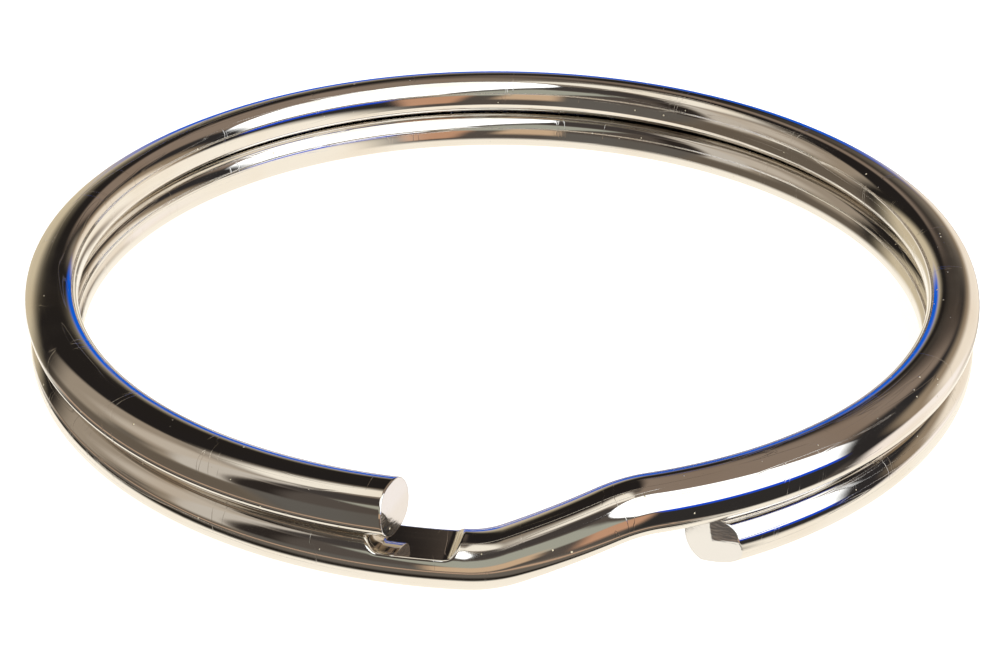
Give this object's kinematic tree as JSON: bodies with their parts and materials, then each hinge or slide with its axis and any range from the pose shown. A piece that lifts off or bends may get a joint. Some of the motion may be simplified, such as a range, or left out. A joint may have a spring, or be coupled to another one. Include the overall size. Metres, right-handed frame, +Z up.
{
  "type": "split ring",
  "caption": "Flat key ring of springy metal wire wound in two coils that lie together, with a crank and both cut ends at the front.",
  "frame": {"origin": "on the ring's axis, at the level that its lower coil lies on", "axes": "+Z up along the ring's axis, -Y towards the crank and the cut ends, +X to the right seen from there"},
  "size_m": [0.025, 0.025, 0.0024],
  "materials": {
    "bright_nickel": "bright nickel plate on spring steel"
  },
  "bodies": {
    "root": {"ring_wire": "bright_nickel"}
  },
  "joints": []
}
